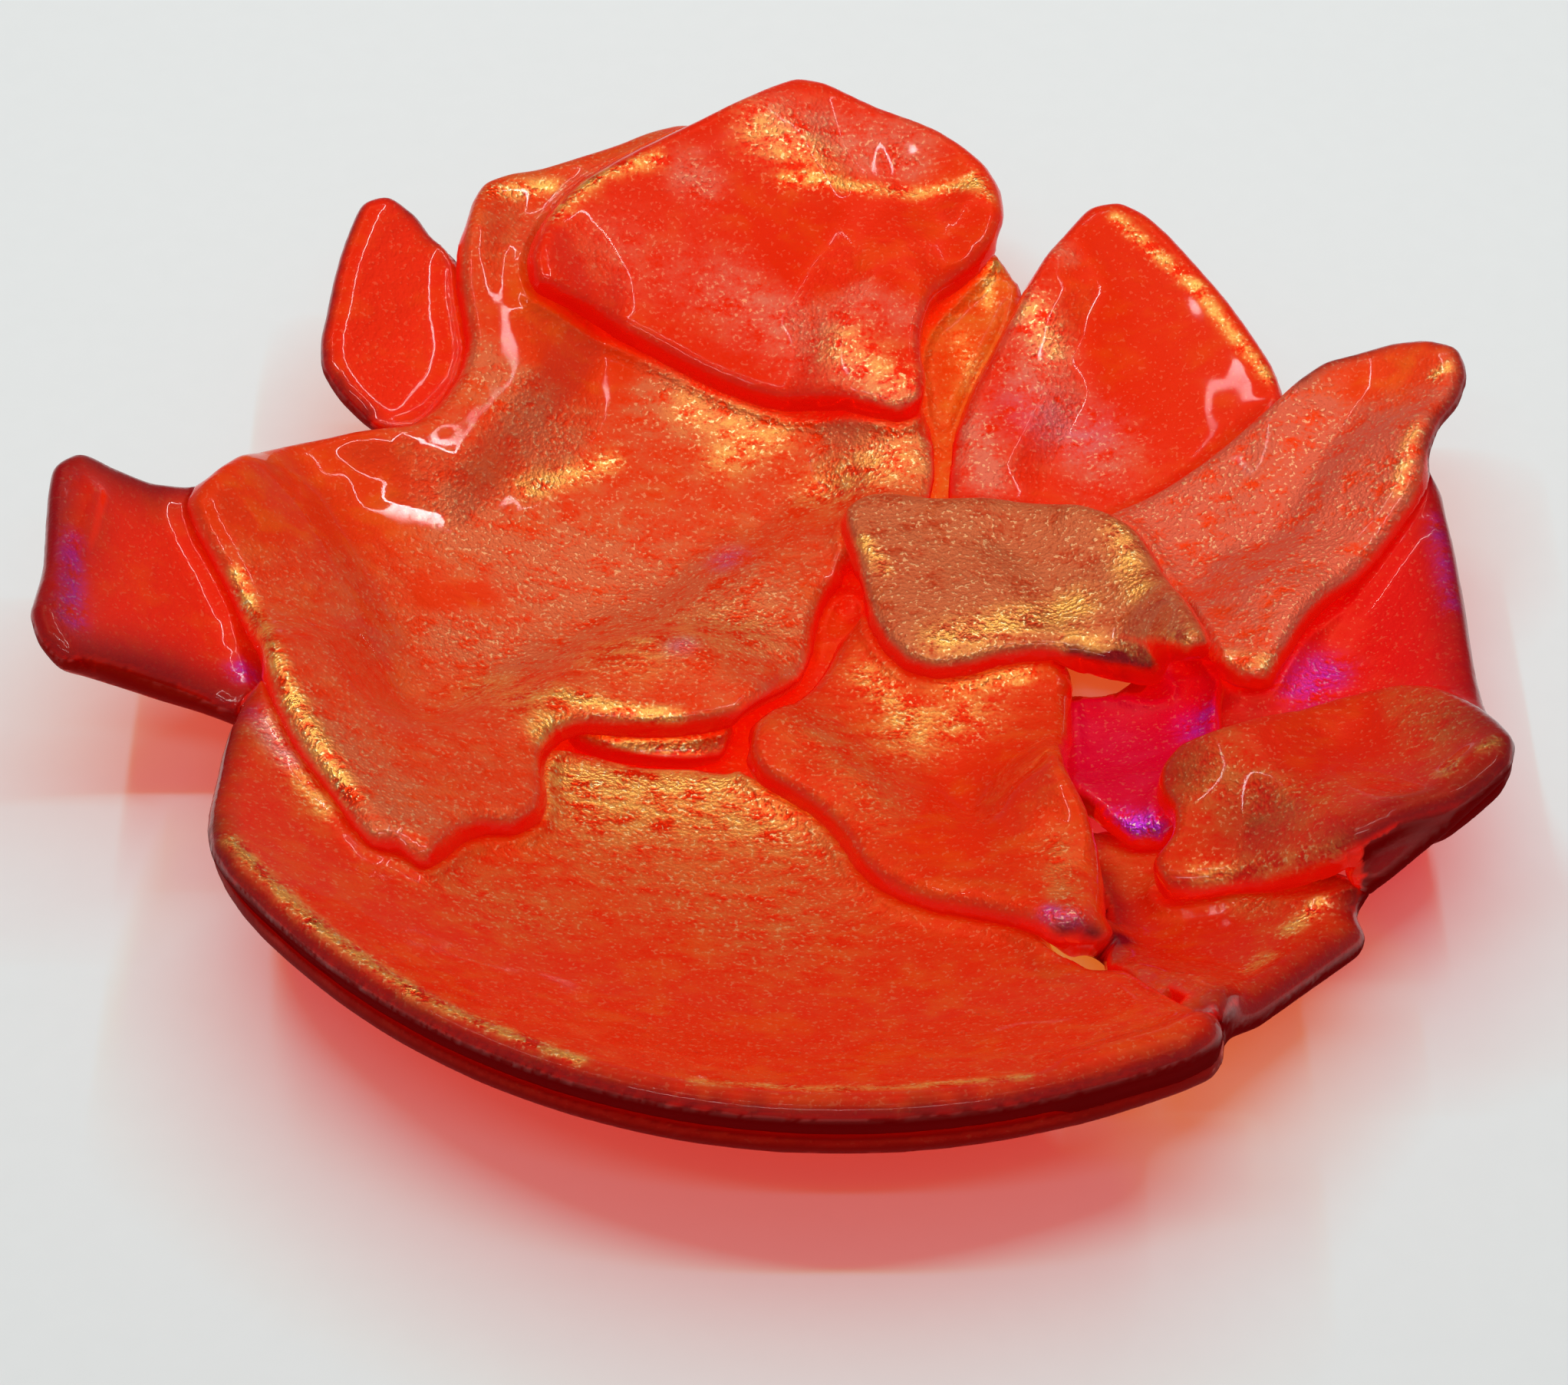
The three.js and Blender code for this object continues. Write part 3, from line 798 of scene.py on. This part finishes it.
SHARDS = (
    Shard(
        "rim_under_sheet",
        Glass.SCARLET,
        "scarlet_glass",
        edge_shade=0.9,
    ),
    Shard(
        "left_prong",
        Glass.SCARLET,
        "scarlet_glass",
        edge_shade=0.9,
        patches=(
            Patch(Wash.VIOLET, (-57.5, -8.5), (-57, -8.5), 1.2, 0.63),
            Patch(Wash.VIOLET, (-74, 0), (-72.5, -10.5), 1.1, 0.49),
            Patch(Wash.HAZE, (-74, -9.5), (-72.5, -12), 1.2, 0.6),
            Patch(Wash.HAZE, (-75.5, 2), (-74.5, 8), 1, 0.5),
        ),
        ropes=(
            Rope(((-73.4, 7.0, 22.7), (-74.4, -6.0, 22.0), (-72.6, -12.2, 21.4)), 2.1),
            Rope(((-72.6, -12.2, 21.4), (-65.0, -10.8, 16.0), (-59.0, -10.2, 12.6)), 2.0),
        ),
        fade_mm=4.0,
    ),
    Shard(
        "left_fin",
        Glass.SCARLET,
        "scarlet_glass",
        edge_shade=0.9,
        fade_mm=1.0,
    ),
    Shard(
        "back_sliver",
        Glass.AMBER,
        "orange_glass",
        edge_shade=0.4,
        patches=(
            Patch(Wash.GOLD, (17, 53), (16.5, 48.5), 0.7, 0.8),
            Patch(Wash.GOLD, (13.5, 45), (15, 40), 1.2, 0.4),
            Patch(Wash.GOLD, (15.5, 52), (17.5, 52.8), 0.7, 0.9),
        ),
    ),
    Shard(
        "right_front_rim",
        Glass.EMBER,
        "red_orange_glass",
        edge_shade=1.0,
        patches=(
            Patch(Wash.SHADE, (23.0, -40.2), (26.2, -39.2), 1.0),
            Patch(Wash.HAZE, (35, -31.5), (39, -34), 2.3, 0.7),
            Patch(Wash.GOLD, (41, -40.5), (44.5, -37.5), 0.8, 0.9),
            Patch(Wash.GOLD, (37, -46.5), (39, -44), 0.7, 0.7),
            Patch(Wash.CLEAR, (29, -35.5), (33, -39.5), 3.4, 0.7),
        ),
        ropes=(
            Rope(((23.5, -38.6, 10.5), (26.4, -37.6, 8.4)), 1.6),
            Rope(((26.6, -37.5, 8.3), (26.4, -41.5, 10.4), (29.0, -49.5, 14.5)), 1.6),
            Rope(((32.0, -54.4, 17.6), (36.4, -51.0, 15.6), (46.4, -40.4, 12.6)), 2.1),
        ),
        fade_mm=2.5,
    ),
    Shard(
        "magenta_sheet",
        Glass.MAGENTA,
        "magenta_glass",
        edge_shade=0.6,
        patches=(
            Patch(Wash.VIOLET, (35.5, -7.5), (37.5, -6), 1.8, 0.5),
            Patch(Wash.CLEAR, (25, -5.5), (26.5, -9), 2.3, 0.6),
            Patch(Wash.VIOLET, (27, -23), (31.5, -25), 1.4, 1),
            Patch(Wash.HAZE, (27, -23), (31.5, -25), 1.1, 0.8),
        ),
    ),
    Shard(
        "right_rim",
        Glass.CRIMSON,
        "scarlet_glass",
        edge_shade=1.0,
        patches=(
            Patch(Wash.VIOLET, (60, 11.5), (60.5, 0), 1, 0.45),
            Patch(Wash.VIOLET, (45.5, -7.5), (48, -5), 2, 0.5),
            Patch(Wash.CLEAR, (51, 3), (55.5, 5.5), 3.8, 0.8),
        ),
        fade_mm=3.0,
    ),
    Shard(
        "front_crescent",
        Glass.ORANGE,
        "orange_glass",
        edge_shade=1.0,
        patches=(
            Patch(Wash.SHADE, (-61.5, -23), (-61, -33), 1.3, 0.9),
            Patch(Wash.SHADE, (-61, -33), (-55.5, -42), 0.7, 0.6),
            Patch(Wash.GOLD, (-54, -18), (-48, -28), 1.7, 0.5),
            Patch(Wash.VIOLET, (-55.5, -16.5), (-51.5, -22.5), 1.1, 0.18),
            Patch(Wash.GOLD, (-26, -15.5), (-11, -15), 2.1, 1),
            Patch(Wash.GOLD, (-24.5, -19.5), (-6.5, -20), 3.8, 0.6),
            Patch(Wash.HAZE, (-8, -19), (-2.5, -24.5), 3.8, 0.6),
            Patch(Wash.HAZE, (-21.5, -24.5), (-6.5, -34.5), 8.3, 0.5),
            Patch(Wash.HAZE, (-38, -32.5), (-28, -38), 4.5, 0.4),
            Patch(Wash.GOLD, (-38.2, -54.8), (-23, -62.6), 0.7, 1),
            Patch(Wash.GOLD, (-13, -64.5), (0, -65.1), 0.5, 0.7),
            Patch(Wash.GOLD, (0, -65.1), (16, -64.1), 0.5, 0.9),
            Patch(Wash.GOLD, (-55.4, -37.2), (-47.1, -46.9), 0.8, 1),
            Patch(Wash.GOLD, (-47.1, -46.9), (-37.7, -54.8), 0.8, 1),
            Patch(Wash.HAZE, (-60, -26), (-57.5, -36), 1, 0.9),
        ),
        ropes=(
            Rope(((20.0, -63.0, 20.6), (28.8, -60.0, 20.8), (31.4, -58.2, 20.6)), 2.3),
        ),
        fade_mm=1.9,
    ),
    Shard(
        "gap_fragment",
        Glass.ORANGE,
        "orange_glass",
        edge_shade=0.6,
        patches=(
            Patch(Wash.GOLD, (-21.5, -10), (-14, -11), 1.2, 0.7),
            Patch(Wash.HAZE, (-22.5, -10), (-12.5, -10.5), 1.7, 0.9),
        ),
    ),
    Shard(
        "broad_left_sheet",
        Glass.RED_ORANGE,
        "red_orange_glass",
        edge_shade=0.3,
        patches=(
            Patch(Wash.GOLD, (-31.5, 24.5), (-23, 29.5), 1.2, 0.8),
            Patch(Wash.GOLD, (-11.5, 31), (-6, 34), 2.3, 0.5),
            Patch(Wash.GOLD, (-58.5, 2), (-51.5, -16), 0.8, 0.9),
            Patch(Wash.GOLD, (-51.5, -16), (-45.5, -27.5), 1, 1),
            Patch(Wash.HAZE, (-38, 18.5), (-30, 16), 4.5, 0.7),
            Patch(Wash.HAZE, (-37.5, 4.5), (-30.5, 2), 4.1, 0.7),
            Patch(Wash.HAZE, (-24, 14), (-10, 7.5), 6.8, 0.9),
            Patch(Wash.GOLD, (-22, 0), (-10, 5), 4.5, 0.35),
            Patch(Wash.GOLD, (-34, -4), (-27.5, -10), 3, 0.5),
            Patch(Wash.GOLD, (-26.5, -7.5), (-15.5, -9.5), 1, 1),
            Patch(Wash.GOLD, (-28.5, -13.5), (-28, -12), 1.1, 0.8),
            Patch(Wash.VIOLET, (-11, 16.5), (-10.5, 17), 1.7, 0.21),
            Patch(Wash.VIOLET, (-15.5, 0.5), (-15, 0.5), 1.4, 0.18),
            Patch(Wash.HAZE, (-48.5, -20.5), (-41, -29), 3.8, 0.6),
            Patch(Wash.HAZE, (-35.5, 35.5), (-30.5, 31), 3.8, 0.6),
            Patch(Wash.HAZE, (-18, 38), (-10, 35), 3.8, 0.7),
            Patch(Wash.GOLD, (-15, 36.5), (-10, 35), 2.3, 0.5),
            Patch(Wash.HAZE, (0.5, 34), (7.5, 28.5), 3, 0.8),
            Patch(Wash.GOLD, (-0.5, 27), (6.5, 28.5), 3, 0.6),
            Patch(Wash.GOLD, (-36, 56.5), (-29.5, 58.5), 0.8, 0.9),
            Patch(Wash.CLEAR, (-58.5, 12.5), (-48.5, 19.5), 5.3, 0.8),
            Patch(Wash.CLEAR, (-31, 41), (-24, 41.5), 4.5, 0.8),
            Patch(Wash.CLEAR, (-40.5, 8.5), (-36, 10), 2.3, 0.6),
        ),
    ),
    Shard(
        "back_fan",
        Glass.ROSE,
        "red_orange_glass",
        edge_shade=0.7,
        patches=(
            Patch(Wash.HAZE, (20.5, 45), (22, 41), 2.6, 0.9),
            Patch(Wash.GOLD, (21, 45), (22.5, 41.5), 1.8, 0.6),
            Patch(Wash.HAZE, (14.5, 32), (16, 26), 2.3, 0.9),
            Patch(Wash.HAZE, (20.5, 37), (28, 29), 3.8, 0.6),
            Patch(Wash.VIOLET, (19.5, 34), (26.5, 32), 3, 0.07),
            Patch(Wash.CLEAR, (30.5, 50), (36.5, 40.5), 4.1, 1),
            Patch(Wash.GOLD, (30, 55.5), (38, 46.5), 0.6, 0.8),
            Patch(Wash.GOLD, (38, 46.5), (45, 34.5), 0.6, 0.9),
            Patch(Wash.HAZE, (23.5, 52), (25.5, 51), 1.9, 0.5),
        ),
    ),
    Shard(
        "back_crown",
        Glass.ROSE,
        "red_orange_glass",
        edge_shade=0.25,
        patches=(
            Patch(Wash.GOLD, (-7.5, 64), (-2, 62), 2.4, 0.6),
            Patch(Wash.HAZE, (-6, 65), (8, 64.5), 3.2, 0.72),
            Patch(Wash.GOLD, (-5, 59.5), (15, 60), 0.8, 0.75),
            Patch(Wash.GOLD, (15, 61), (16.5, 58), 0.9, 0.68),
            Patch(Wash.GOLD, (-25.5, 58), (-18.5, 60.5), 0.9, 0.75),
            Patch(Wash.HAZE, (-15.5, 59.5), (-13.5, 58.5), 2, 0.64),
            Patch(Wash.CLEAR, (-0.5, 53), (11, 52.5), 4.5, 1),
            Patch(Wash.HAZE, (-8.5, 46.5), (-0.5, 41.5), 4.1, 0.56),
            Patch(Wash.GOLD, (1, 40), (6.5, 35), 2.4, 0.52),
            Patch(Wash.HAZE, (2.5, 37), (7.5, 33), 2.3, 0.64),
            Patch(Wash.HAZE, (-23, 50.5), (-13.5, 48.5), 4.5, 0.24),
            Patch(Wash.HAZE, (3, 46), (8.5, 42), 2.3, 0.4),
            Patch(Wash.GOLD, (-29, 53.5), (-25.5, 57.5), 1, 0.68),
        ),
    ),
    Shard(
        "lower_right_prong",
        Glass.EMBER,
        "orange_glass",
        edge_shade=1.0,
        patches=(
            Patch(Wash.HAZE, (35.5, -22), (42, -27.5), 3.8, 0.49),
            Patch(Wash.HAZE, (54.5, -16), (57, -19.5), 3, 0.42),
            Patch(Wash.CLEAR, (44, -20), (49, -17), 3.4, 0.7),
            Patch(Wash.GOLD, (60, -25), (61, -24.5), 0.7, 1),
            Patch(Wash.GOLD, (56, -27), (57, -26), 0.7, 0.9),
            Patch(Wash.GOLD, (33.5, -32), (45.5, -35.5), 1.2, 0.35),
            Patch(Wash.GOLD, (45.5, -35.5), (47, -36), 0.7, 1),
        ),
        ropes=(
            Rope(((60.0, -25.6, 20.0), (55.0, -30.0, 18.4), (49.0, -34.0, 15.6)), 2.2),
        ),
        fade_mm=3.5,
    ),
    Shard(
        "centre_kite",
        Glass.ORANGE,
        "orange_glass",
        edge_shade=0.6,
        patches=(
            Patch(Wash.SHADE, (20.5, -40.6), (23.4, -40.4), 1.1),
            Patch(Wash.VIOLET, (19.5, -38.5), (21.5, -39.5), 1.1, 0.42),
            Patch(Wash.HAZE, (20.5, -28), (21, -39.5), 1.5, 0.8),
            Patch(Wash.GOLD, (11.5, -2), (18.5, -1), 1.4, 0.9),
            Patch(Wash.GOLD, (3, -1), (7, -6), 1.8, 0.6),
            Patch(Wash.GOLD, (7, -9), (13, -6), 3, 0.5),
            Patch(Wash.HAZE, (-2, -10), (5, -22), 3.8, 0.4),
            Patch(Wash.CLEAR, (10, -24.5), (15, -16), 3.4, 0.6),
        ),
        ropes=(
            Rope(((20.5, -39.0, 12.6), (23.2, -38.8, 11.8)), 1.7),
        ),
    ),
    Shard(
        "right_kite",
        Glass.SALMON,
        "red_orange_glass",
        edge_shade=0.9,
        patches=(
            Patch(Wash.HAZE, (37, 20.5), (49, 17.5), 8.3, 0.7),
            Patch(Wash.HAZE, (43, 26), (46, -0), 5.3, 0.7),
            Patch(Wash.GOLD, (58, 20.5), (56, 14), 0.8, 0.6),
            Patch(Wash.GOLD, (61, 28), (62, 28.5), 0.7, 1),
            Patch(Wash.CLEAR, (54.5, 30), (59, 31), 3, 0.7),
            Patch(Wash.GOLD, (38, -5.5), (42.5, -6.5), 1.2, 0.4),
        ),
        fade_mm=1.2,
    ),
    Shard(
        "centre_gold",
        Glass.GOLD,
        "gold_glass",
        edge_shade=0.5,
        patches=(
            Patch(Wash.SHADE, (23.4, -0.6), (27.4, -1.5), 1.0),
            Patch(Wash.SHADE, (27.4, -1.5), (31.0, -3.9), 1.0),
            Patch(Wash.HAZE, (7, 16.5), (26.5, 14), 6.8, 0.9),
            Patch(Wash.HAZE, (8.5, 4.5), (29.5, 0), 6.8, 0.9),
            Patch(Wash.GOLD, (10.5, 1), (24, 5.5), 2, 1),
            Patch(Wash.GOLD, (23.5, 1), (33, -4.5), 1.7, 0.6),
            Patch(Wash.GOLD, (28.5, 14.5), (30, 6), 1.4, 0.8),
            Patch(Wash.GOLD, (3, 15), (5, 10.5), 0.8, 0.9),
        ),
        ropes=(
            Rope(((23.4, 0.8, 8.0), (27.6, 0.0, 7.4), (31.0, -2.4, 9.0)), 1.6),
        ),
    ),
)


@dataclass(frozen=True)
class Studio:
    """The floor, the lights and the camera, in metres, watts and degrees where nothing else is said."""

    floor_reach: float = 3.0
    lens_mm: float = 103.0
    camera_place: Place = (-0.00508, -0.30535, 0.33007)
    camera_tilt_deg: float = 43.0
    lamp_side: float = 0.42
    lamp_height: float = 0.5
    lamp_middle: float = 0.15
    strip_width: float = 0.012
    lamp_watts: float = 2.75
    near_place: Place = (-0.02, -0.3, 0.5)
    near_length: float = 0.34
    near_width: float = 0.016
    near_watts: float = 0.3
    sky_colour: tuple[float, float, float, float] = (0.97, 0.99, 1.0, 1.0)
    sky_strength: float = 0.2
    floor_low: Colour = (0.80, 0.82, 0.81)
    floor_high: Colour = (0.82, 0.84, 0.83)
    floor_grain_mm: float = 3.0
    floor_shift: Place = (9.0, 9.0, 9.0)
    floor_roughness: float = 0.9
    all_bounces: int = 8
    glass_bounces: int = 7
    glossy_bounces: int = 4
    diffuse_bounces: int = 3
    shadow_layers: int = 20

    def build(self) -> None:
        """Sets up everything round the bowl."""
        self._floor()
        self._lights()
        self._camera()
        scene = bpy.context.scene
        scene.view_settings.view_transform = "Standard"
        scene.cycles.max_bounces = self.all_bounces
        scene.cycles.transmission_bounces = self.glass_bounces
        scene.cycles.glossy_bounces = self.glossy_bounces
        scene.cycles.diffuse_bounces = self.diffuse_bounces
        scene.cycles.transparent_max_bounces = self.shadow_layers

    def _floor(self) -> None:
        """A pale matte floor."""
        bpy.ops.mesh.primitive_plane_add(size=2 * self.floor_reach)
        floor = bpy.context.object
        floor.name = "floor"
        tree = ShaderTree("pale floor")
        grain = tree.noise(tree.moved("ADD", tree.place(), self.floor_shift), self.floor_grain_mm, 2.0)
        colour = tree.mix(grain, self.floor_low, self.floor_high)
        paint = tree.principled(Base_Color=colour, Roughness=self.floor_roughness)
        floor.data.materials.append(tree.finish(paint))

    def _lights(self) -> None:
        """A soft sky, a square of strip lamps overhead, and a near strip for the rim's glints."""
        world = bpy.data.worlds.new("soft sky")
        bpy.context.scene.world = world
        world.use_nodes = True
        sky = world.node_tree.nodes["Background"]
        sky.inputs["Color"].default_value = self.sky_colour
        sky.inputs["Strength"].default_value = self.sky_strength
        half = 0.5 * self.lamp_side
        middle = self.lamp_middle
        height = self.lamp_height
        each = self.lamp_watts / 4
        for name, way in (("lamp back", 1), ("lamp front", -1)):
            self._strip(name, (0.0, middle + way * half, height), self.lamp_side, self.strip_width, each)
        for name, way in (("lamp left", -1), ("lamp right", 1)):
            self._strip(name, (way * half, middle, height), self.strip_width, self.lamp_side, each)
        self._strip("lamp near", self.near_place, self.near_length, self.near_width, self.near_watts)

    @staticmethod
    def _strip(name: str, place: Place, wide: float, deep: float, watts: float) -> None:
        """Adds one strip lamp that faces down.

        Args:
            name: the lamp's name.
            place: its centre in metres.
            wide: its size along X in metres.
            deep: its size along Y in metres.
            watts: its power.
        """
        light = bpy.data.lights.new(name, "AREA")
        light.shape = "RECTANGLE"
        light.size = wide
        light.size_y = deep
        light.energy = watts
        lamp = bpy.data.objects.new(name, light)
        lamp.location = place
        bpy.context.scene.collection.objects.link(lamp)

    def _camera(self) -> None:
        """The camera, at the photograph's angle."""
        camera = bpy.data.cameras.new("camera")
        camera.lens = self.lens_mm
        holder = bpy.data.objects.new("camera", camera)
        holder.location = self.camera_place
        holder.rotation_euler = (math.radians(self.camera_tilt_deg), 0.0, 0.0)
        bpy.context.scene.collection.objects.link(holder)
        bpy.context.scene.camera = holder


def main() -> None:
    """Builds the studio and the bowl."""
    logging.basicConfig(level=logging.INFO, format="%(message)s")
    Studio().build()
    materials = {glass: glass.value.material() for glass in Glass}
    melt = Melt()
    melt.build([shard.shape() for shard in SHARDS])
    for layer, shard in enumerate(reversed(SHARDS), start=1):
        shard.finish(melt, layer, materials)
        LOG.info("%s: %d faces", shard.piece.name, len(shard.piece.data.polygons))


if __name__ == "__main__":
    main()
